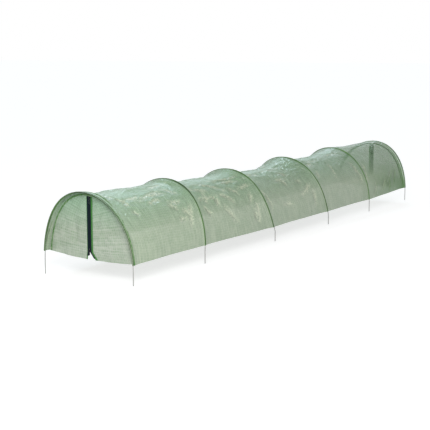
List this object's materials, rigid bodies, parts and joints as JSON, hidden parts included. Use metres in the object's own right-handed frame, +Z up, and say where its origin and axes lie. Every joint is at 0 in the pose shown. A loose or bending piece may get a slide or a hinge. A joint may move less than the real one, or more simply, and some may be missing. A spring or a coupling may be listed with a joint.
{
  "type": "row cover tunnel",
  "caption": "Long plant cover of sprung wire hoops in sewn sleeves under a sagging grid film, with a zipped doorway in each arched end.",
  "frame": {"origin": "on the ground plane of the wire tips, midway between the end hems and between the legs", "axes": "+Z up, +Y along the tunnel from the front end to the back end, +X to the right of someone who faces the front end"},
  "size_m": [0.4687, 2.9, 0.47],
  "materials": {
    "film": "satin",
    "green_tape": "matte",
    "zip_tape": "matte",
    "wire": "satin",
    "dark_metal": "satin"
  },
  "bodies": {
    "tunnel": {"hoop_1": "wire", "hoop_2": "wire", "hoop_3": "wire", "hoop_4": "wire", "hoop_5": "wire", "hoop_6": "wire", "hoop_sleeve_1": "green_tape", "hoop_sleeve_2": "green_tape", "hoop_sleeve_3": "green_tape", "hoop_sleeve_4": "green_tape", "hoop_sleeve_5": "green_tape", "hoop_sleeve_6": "green_tape", "roof_film": "film", "front_seam_binding": "green_tape", "front_zip_top_stop": "dark_metal", "front_left_cheek": "film", "front_left_zip_head": "zip_tape", "front_left_head_trim": "green_tape", "front_right_cheek": "film", "front_right_zip_head": "zip_tape", "front_right_head_trim": "green_tape", "back_seam_binding": "green_tape", "back_zip_top_stop": "dark_metal", "back_left_cheek": "film", "back_left_zip_head": "zip_tape", "back_left_head_trim": "green_tape", "back_right_cheek": "film", "back_right_zip_head": "zip_tape", "back_right_head_trim": "green_tape"},
    "front_left_door": {"front_left_flap": "film", "front_left_trim": "green_tape", "front_left_zip": "zip_tape"},
    "front_right_door": {"front_right_flap": "film", "front_right_trim": "green_tape", "front_right_zip": "zip_tape"},
    "front_slider": {"front_zip_slider": "dark_metal"},
    "front_pull": {"front_zip_pull": "dark_metal"},
    "back_left_door": {"back_left_flap": "film", "back_left_trim": "green_tape", "back_left_zip": "zip_tape"},
    "back_right_door": {"back_right_flap": "film", "back_right_trim": "green_tape", "back_right_zip": "zip_tape"},
    "back_slider": {"back_zip_slider": "dark_metal"},
    "back_pull": {"back_zip_pull": "dark_metal"}
  },
  "joints": [
    {"name": "front_zip_slide", "type": "slide", "parent": "tunnel", "child": "front_slider", "axis": [0, 0, 1], "range_m": [0, 0.2147]},
    {"name": "front_pull_hinge", "type": "hinge", "parent": "front_slider", "child": "front_pull", "pos_m": [-0.012, -1.4184, 0.223], "axis": [-1, 0, 0], "range_deg": [0, 160]},
    {"name": "front_left_fold", "type": "hinge", "parent": "tunnel", "child": "front_left_door", "pos_m": [-0.10109, -1.4173, 0.30419], "axis": [-0.5785, 0, -0.8157], "range_deg": [0, 120.5], "deforming": ["front_left_zip"]},
    {"name": "front_right_fold", "type": "hinge", "parent": "tunnel", "child": "front_right_door", "pos_m": [0.0888, -1.4173, 0.30368], "axis": [-0.6307, 0, 0.776], "range_deg": [0, 120.5], "deforming": ["front_right_zip"]},
    {"name": "back_zip_slide", "type": "slide", "parent": "tunnel", "child": "back_slider", "axis": [0, 0, 1], "range_m": [0, 0.2147]},
    {"name": "back_pull_hinge", "type": "hinge", "parent": "back_slider", "child": "back_pull", "pos_m": [0.012, 1.4184, 0.223], "axis": [1, 0, 0], "range_deg": [0, 160]},
    {"name": "back_left_fold", "type": "hinge", "parent": "tunnel", "child": "back_left_door", "pos_m": [0.10101, 1.4173, 0.30418], "axis": [0.5782, 0, -0.8159], "range_deg": [0, 120.5], "deforming": ["back_left_zip"]},
    {"name": "back_right_fold", "type": "hinge", "parent": "tunnel", "child": "back_right_door", "pos_m": [-0.08888, 1.4173, 0.30425], "axis": [0.6292, 0, 0.7773], "range_deg": [0, 120.5], "deforming": ["back_right_zip"]}
  ],
  "couplings": [
    {"joint": "front_left_fold", "follows": "front_zip_slide", "rad_per_m": 9.755},
    {"joint": "front_right_fold", "follows": "front_zip_slide", "rad_per_m": 9.755},
    {"joint": "back_left_fold", "follows": "back_zip_slide", "rad_per_m": 9.755},
    {"joint": "back_right_fold", "follows": "back_zip_slide", "rad_per_m": 9.755}
  ]
}
